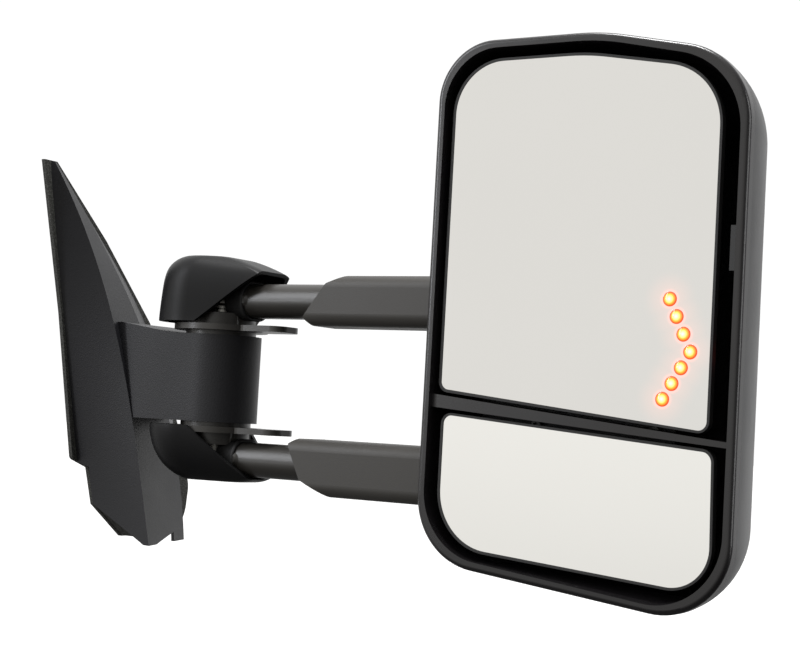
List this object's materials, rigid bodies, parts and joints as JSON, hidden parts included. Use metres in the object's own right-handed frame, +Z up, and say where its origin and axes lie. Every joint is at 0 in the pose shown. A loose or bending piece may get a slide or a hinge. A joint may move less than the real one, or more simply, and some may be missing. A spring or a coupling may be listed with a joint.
{
  "type": "towing mirror",
  "caption": "Door-mounted towing mirror: a tall head with an upper flat glass and a lower wide-angle glass, on twin telescoping arms that fold about an upright pivot.",
  "frame": {"origin": "on the door face, level with the middle of the two arms, in line with the fold pivot", "axes": "+X outboard from the door, +Y towards the front of the vehicle, +Z up; the glasses face -Y"},
  "size_m": [0.5175, 0.1776, 0.329],
  "materials": {
    "textured_black": "grained",
    "foam": "foam",
    "die_cast": "as cast",
    "zinc_steel": "zinc plated",
    "black_rubber": "matte",
    "bronze": "sintered",
    "slide_plastic": "natural",
    "arm_paint": "satin black",
    "arm_plastic": "satin black",
    "cap_plastic": "smooth satin black",
    "head_plastic": "satin black",
    "bezel_plastic": "satin to gloss black",
    "inner_plastic": "glass filled",
    "upper_mirror": "silvered",
    "lower_mirror": "silvered",
    "heater_film": "film",
    "board_green": "board",
    "amber_lens": "clear amber",
    "motor_can": "drawn",
    "clip_grey": "matte"
  },
  "bodies": {
    "door_mount": {"base_cover": "textured_black", "door_gasket": "foam", "mount_casting": "die_cast", "mounting_studs": "zinc_steel", "harness_grommet": "black_rubber", "cover_screws": "zinc_steel", "pivot_bushes": "bronze", "friction_washers": "arm_paint"},
    "arms": {"pivot_pin": "zinc_steel", "upper_bracket": "arm_paint", "lower_bracket": "arm_paint", "upper_arm_tube": "arm_paint", "lower_arm_tube": "arm_paint", "tube_rivets": "arm_paint", "pivot_springs": "zinc_steel", "spring_washer": "zinc_steel", "pivot_nut": "zinc_steel", "upper_pivot_cover": "cap_plastic", "lower_pivot_cover": "cap_plastic", "upper_tube_plug": "inner_plastic", "lower_tube_plug": "inner_plastic"},
    "head": {"upper_sleeve": "arm_plastic", "lower_sleeve": "arm_plastic", "upper_glide_bush": "slide_plastic", "lower_glide_bush": "slide_plastic", "head_shell": "head_plastic", "bezel": "bezel_plastic", "bezel_clip": "clip_grey", "head_frame": "inner_plastic", "shell_screws": "arm_paint", "actuator_housing": "inner_plastic", "actuator_cover": "inner_plastic", "actuator_motors": "motor_can", "actuator_screws": "zinc_steel", "upper_post": "inner_plastic", "spotter_post": "inner_plastic"},
    "tilt_rod": {"tilt_plunger": "slide_plastic"},
    "pan_rod": {"pan_plunger": "slide_plastic"},
    "upper_swivel": {"upper_swivel_ring": "slide_plastic", "upper_swivel_pins": "zinc_steel"},
    "upper_mirror": {"upper_glass": "upper_mirror", "upper_tray": "inner_plastic", "heater_pad": "heater_film", "signal_board": "board_green", "signal_lamps": "amber_lens"},
    "spotter_swivel": {"spotter_swivel_ring": "slide_plastic", "spotter_swivel_pins": "zinc_steel"},
    "spotter_mirror": {"spotter_glass": "lower_mirror", "spotter_tray": "inner_plastic", "spotter_tape": "heater_film"}
  },
  "joints": [
    {"name": "fold", "type": "hinge", "parent": "door_mount", "child": "arms", "pos_m": [0.105, 0, 0], "axis": [0, 0, 1], "range_deg": [-85, 60]},
    {"name": "telescope", "type": "slide", "parent": "arms", "child": "head", "axis": [1, 0, 0], "range_m": [-0.045, 0.05]},
    {"name": "upper_pan", "type": "hinge", "parent": "head", "child": "upper_swivel", "pos_m": [0.39, -0.033, 0.098], "axis": [0, 0, 1], "range_deg": [-6, 6]},
    {"name": "upper_tilt", "type": "hinge", "parent": "upper_swivel", "child": "upper_mirror", "pos_m": [0.39, -0.033, 0.098], "axis": [1, 0, 0], "range_deg": [-6, 6]},
    {"name": "tilt_push", "type": "slide", "parent": "head", "child": "tilt_rod", "axis": [0, -1, 0], "range_m": [-0.0035, 0.0035]},
    {"name": "pan_push", "type": "slide", "parent": "head", "child": "pan_rod", "axis": [0, -1, 0], "range_m": [-0.004, 0.004]},
    {"name": "spotter_pan", "type": "hinge", "parent": "head", "child": "spotter_swivel", "pos_m": [0.395, -0.033, -0.062], "axis": [0, 0, 1], "range_deg": [-7, 7]},
    {"name": "spotter_tilt", "type": "hinge", "parent": "spotter_swivel", "child": "spotter_mirror", "pos_m": [0.395, -0.033, -0.062], "axis": [1, 0, 0], "range_deg": [-7, 7]}
  ],
  "couplings": [
    {"joint": "tilt_push", "follows": "upper_tilt", "m_per_rad": 0.026},
    {"joint": "pan_push", "follows": "upper_pan", "m_per_rad": -0.03}
  ]
}
